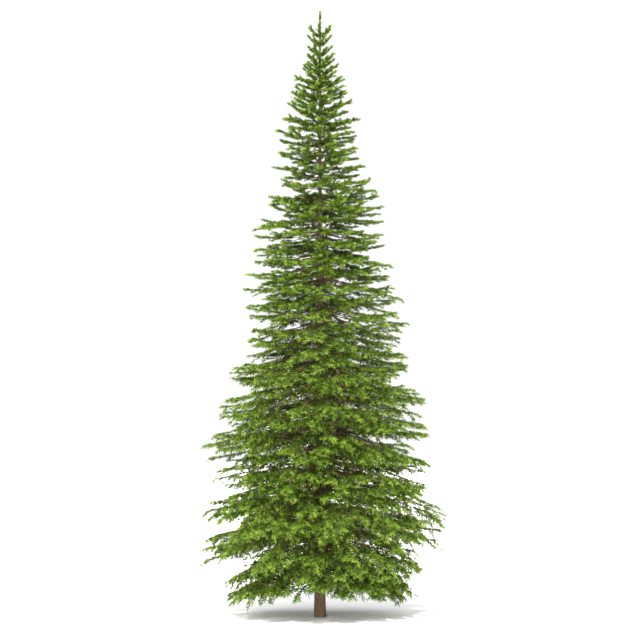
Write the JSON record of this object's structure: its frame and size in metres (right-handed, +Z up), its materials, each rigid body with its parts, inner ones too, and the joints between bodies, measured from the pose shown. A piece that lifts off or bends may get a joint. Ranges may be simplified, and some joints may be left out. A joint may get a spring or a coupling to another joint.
{
  "type": "spruce tree",
  "caption": "Tall narrow conical spruce tree with a straight bare-footed trunk, tiered boughs and drooping needle foliage, rooted in the ground.",
  "frame": {"origin": "centre of the flat cut under the trunk, at ground level", "axes": "+Z up along the trunk, +X to the right and +Y to the back of the view from the front"},
  "size_m": [4.7987, 4.7792, 12],
  "materials": {
    "trunk_bark": "rough scaly bark",
    "bough_bark": "rough bark",
    "needles": "matt green needles"
  },
  "bodies": {
    "root": {"bough_01": "bough_bark", "bough_02": "bough_bark", "bough_03": "bough_bark", "bough_04": "bough_bark", "bough_05": "bough_bark", "bough_06": "bough_bark", "bough_07": "bough_bark", "bough_08": "bough_bark", "bough_09": "bough_bark", "bough_10": "bough_bark", "bough_11": "bough_bark", "bough_12": "bough_bark", "bough_13": "bough_bark", "foliage_leader": "needles", "foliage_lower_01": "needles", "foliage_lower_02": "needles", "foliage_lower_03": "needles", "foliage_lower_04": "needles", "foliage_lower_05": "needles", "foliage_lower_06": "needles", "foliage_lower_07": "needles", "foliage_lower_08": "needles", "foliage_lower_09": "needles", "foliage_lower_10": "needles", "foliage_lower_11": "needles", "foliage_lower_12": "needles", "foliage_lower_13": "needles", "foliage_lower_14": "needles", "foliage_lower_15": "needles", "foliage_lower_16": "needles", "foliage_lower_17": "needles", "foliage_lower_18": "needles", "foliage_lower_19": "needles", "foliage_lower_20": "needles", "foliage_lower_21": "needles", "foliage_upper_01": "needles", "foliage_upper_02": "needles", "foliage_upper_03": "needles", "foliage_upper_04": "needles", "foliage_upper_05": "needles", "foliage_upper_06": "needles", "foliage_upper_07": "needles", "foliage_upper_08": "needles", "foliage_upper_09": "needles", "foliage_upper_10": "needles", "foliage_upper_11": "needles", "foliage_upper_12": "needles", "foliage_whorl_01": "needles", "foliage_whorl_02": "needles", "foliage_whorl_03": "needles", "foliage_whorl_04": "needles", "foliage_whorl_05": "needles", "foliage_whorl_06": "needles", "foliage_whorl_07": "needles", "foliage_whorl_08": "needles", "foliage_whorl_09": "needles", "foliage_whorl_10": "needles", "foliage_whorl_11": "needles", "foliage_whorl_12": "needles", "trunk": "trunk_bark"}
  },
  "joints": []
}
